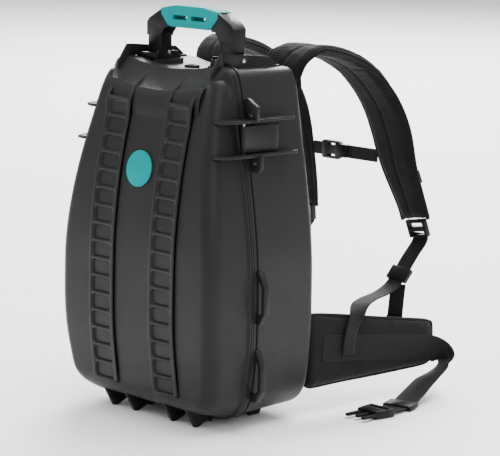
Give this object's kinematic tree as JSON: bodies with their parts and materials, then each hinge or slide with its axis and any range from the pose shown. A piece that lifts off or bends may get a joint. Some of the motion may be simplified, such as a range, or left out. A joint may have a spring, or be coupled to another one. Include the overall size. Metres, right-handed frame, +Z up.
{
  "type": "hard shell backpack",
  "caption": "Hard shell backpack: a hinged two-part case with a folding top handle, side latches and a padded harness with shoulder, chest and waist straps.",
  "frame": {"origin": "on the floor, under the middle of the pack's bounding box", "axes": "+Z up, -Y out of the lid's front face, +Y towards the wearer, +X to the right seen from the front"},
  "size_m": [0.467, 0.4864, 0.584],
  "materials": {
    "shell": "satin, fine grain",
    "black_plastic": "satin",
    "teal_plastic": "satin",
    "steel": "satin",
    "pad_fabric": "woven, matte",
    "webbing": "ribbed webbing, matte"
  },
  "bodies": {
    "base": {"base_shell": "shell", "latch_guard_upper_left": "shell", "latch_guard_upper_right": "shell", "latch_guard_lower_left": "shell", "latch_guard_lower_right": "shell", "side_loop_upper_left": "shell", "side_loop_upper_right": "shell", "side_loop_lower_left": "shell", "side_loop_lower_right": "shell", "bracket_left": "black_plastic", "bracket_right": "black_plastic", "valve_knob": "black_plastic", "strap_ring_left": "black_plastic", "strap_ring_right": "black_plastic", "strap_slider_left": "black_plastic", "strap_slider_right": "black_plastic", "ladder_lock_left": "black_plastic", "ladder_lock_right": "black_plastic", "lower_slider_left": "black_plastic", "lower_slider_right": "black_plastic", "waist_slider_left": "black_plastic", "waist_slider_right": "black_plastic", "waist_buckle_left": "black_plastic", "waist_buckle_right": "black_plastic", "chest_buckle": "black_plastic", "handle_pin_left": "steel", "handle_pin_right": "steel", "hinge_pin_left": "steel", "hinge_pin_right": "steel", "top_loop": "steel", "back_pad": "pad_fabric", "lumbar_pad": "pad_fabric", "shoulder_strap_left": "pad_fabric", "shoulder_strap_right": "pad_fabric", "waist_wing_left": "pad_fabric", "waist_wing_right": "pad_fabric", "strap_webbing_left": "webbing", "strap_webbing_right": "webbing", "lower_webbing_left": "webbing", "lower_webbing_right": "webbing", "lower_tail_left": "webbing", "lower_tail_right": "webbing", "waist_strap_left": "webbing", "waist_strap_right": "webbing", "chest_webbing_left": "webbing", "chest_webbing_right": "webbing"},
    "lid": {"lid_shell": "shell", "badge": "teal_plastic", "latch_pin_left": "steel", "latch_pin_right": "steel"},
    "handle": {"handle_frame": "black_plastic", "handle_grip": "teal_plastic"},
    "latch_left": {"latch_left": "shell"},
    "latch_right": {"latch_right": "shell"}
  },
  "joints": [
    {"name": "lid_hinge", "type": "hinge", "parent": "base", "child": "lid", "pos_m": [0, -0.15951, 0.0052], "axis": [1, 0, 0], "range_deg": [0, 100]},
    {"name": "handle_fold", "type": "hinge", "parent": "base", "child": "handle", "pos_m": [0, -0.12151, 0.514], "axis": [1, 0, 0], "range_deg": [-75, 0]},
    {"name": "latch_right_swing", "type": "hinge", "parent": "lid", "child": "latch_right", "pos_m": [0.149, -0.16651, 0.411], "axis": [0, 0, 1], "range_deg": [-80, 0]},
    {"name": "latch_left_swing", "type": "hinge", "parent": "lid", "child": "latch_left", "pos_m": [-0.149, -0.16651, 0.411], "axis": [0, 0, 1], "range_deg": [0, 80]}
  ]
}
